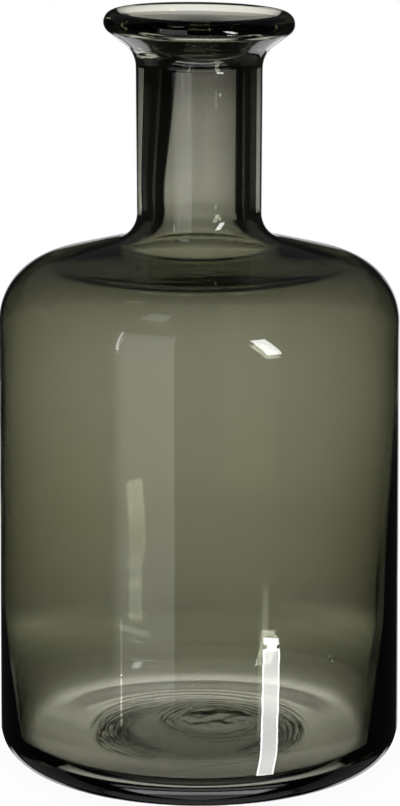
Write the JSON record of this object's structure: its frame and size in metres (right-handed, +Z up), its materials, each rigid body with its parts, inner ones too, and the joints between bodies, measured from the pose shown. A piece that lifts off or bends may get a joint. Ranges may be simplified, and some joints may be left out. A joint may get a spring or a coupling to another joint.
{
  "type": "bottle vase",
  "caption": "Blown glass bottle vase with a rounded flared lip, a straight thick neck, a low sloping shoulder and a straight-sided body on a kicked-up base.",
  "frame": {"origin": "centre of the resting ring under the base, on the surface that the vase stands on", "axes": "+Z up along the axis of the bottle, through the centre of the mouth"},
  "size_m": [0.16, 0.16, 0.3],
  "materials": {
    "smoke_glass": "fire-polished smoke glass with a grey-green tint"
  },
  "bodies": {
    "root": {"glass_bottle": "smoke_glass"}
  },
  "joints": []
}
